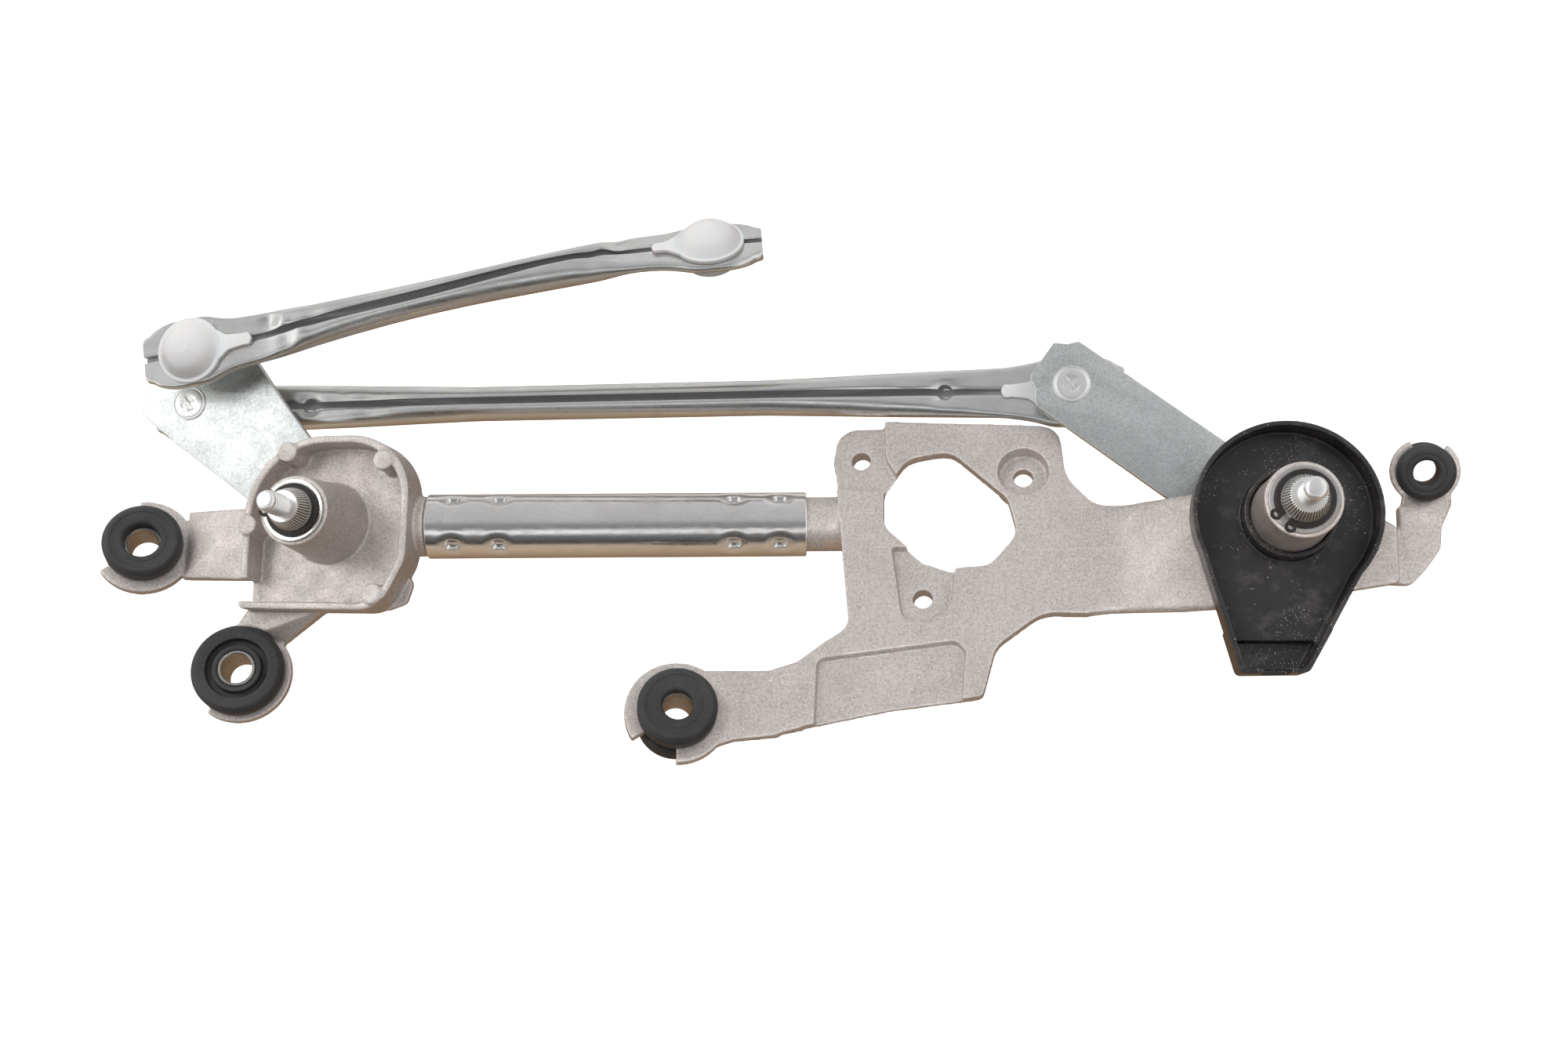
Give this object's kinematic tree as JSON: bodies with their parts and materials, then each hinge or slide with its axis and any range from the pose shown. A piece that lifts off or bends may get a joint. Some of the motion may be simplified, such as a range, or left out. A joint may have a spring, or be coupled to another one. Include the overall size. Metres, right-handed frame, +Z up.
{
  "type": "windshield wiper linkage",
  "caption": "Windshield wiper linkage: spindle housings on a cross tube, levers, ball-jointed tie rod and drive link, motor bracket, rubber-bushed feet and a splash cover.",
  "frame": {"origin": "on the left spindle axis, at the shoulder where its M8 thread starts", "axes": "+Z up along the parallel spindles towards the wiper arms, +X from the left spindle to the right one, +Y towards the levers and rods"},
  "size_m": [0.4955, 0.2064, 0.0958],
  "materials": {
    "cast_aluminium": "satin, fine sand-blasted cast skin",
    "bush_bronze": "sintered, oiled",
    "black_rubber": "matt",
    "plain_steel": "turned, bright zinc",
    "black_plastic": "semi-gloss moulded",
    "spindle_steel": "turned and knurled, zinc plated",
    "zinc_plate": "bright zinc plate",
    "black_steel": "blackened spring steel",
    "white_nylon": "smooth natural nylon"
  },
  "bodies": {
    "frame": {"left_housing": "cast_aluminium", "right_bracket": "cast_aluminium", "cross_tube": "zinc_plate", "left_upper_bush": "bush_bronze", "left_lower_bush": "bush_bronze", "right_upper_bush": "bush_bronze", "right_lower_bush": "bush_bronze", "left_grommet": "black_rubber", "lower_left_grommet": "black_rubber", "middle_grommet": "black_rubber", "right_grommet": "black_rubber", "left_sleeve": "plain_steel", "lower_left_sleeve": "plain_steel", "middle_sleeve": "plain_steel", "splash_cover": "black_plastic", "left_top_washer": "plain_steel", "left_o_ring": "black_rubber", "left_thrust_washer": "plain_steel", "right_top_washer": "plain_steel", "right_o_ring": "black_rubber", "right_thrust_washer": "plain_steel"},
    "left_spindle_body": {"left_spindle": "spindle_steel", "left_lever": "zinc_plate", "left_circlip": "black_steel", "left_tie_stud": "plain_steel", "drive_stud": "plain_steel"},
    "right_spindle_body": {"right_spindle": "spindle_steel", "right_lever": "zinc_plate", "right_circlip": "black_steel", "right_tie_stud": "plain_steel"},
    "tie_rod_body": {"tie_rod": "zinc_plate", "tie_socket_left": "white_nylon", "tie_socket_right": "white_nylon"},
    "drive_link_body": {"drive_link": "zinc_plate", "drive_socket_lever": "white_nylon", "drive_socket_crank": "white_nylon"}
  },
  "joints": [
    {"name": "left_spindle_turn", "type": "hinge", "parent": "frame", "child": "left_spindle_body", "pos_m": [0, 0, -0.03], "axis": [0, 0, 1], "range_deg": [-90, 0]},
    {"name": "right_spindle_turn", "type": "hinge", "parent": "frame", "child": "right_spindle_body", "pos_m": [0.345, 0, -0.03], "axis": [0, 0, 1], "range_deg": [-90, 0]},
    {"name": "tie_rod_swivel", "type": "hinge", "parent": "left_spindle_body", "child": "tie_rod_body", "pos_m": [-0.0715, 0.0522, -0.071], "axis": [0, 0, 1], "range_deg": [0, 90]},
    {"name": "drive_link_swivel", "type": "hinge", "parent": "left_spindle_body", "child": "drive_link_body", "pos_m": [-0.0644, 0.0696, -0.047], "axis": [0, 0, 1], "range_deg": [0, 90]}
  ],
  "couplings": [
    {"joint": "right_spindle_turn", "follows": "left_spindle_turn", "ratio": 1},
    {"joint": "tie_rod_swivel", "follows": "left_spindle_turn", "ratio": -1},
    {"joint": "drive_link_swivel", "follows": "left_spindle_turn", "ratio": -1}
  ]
}
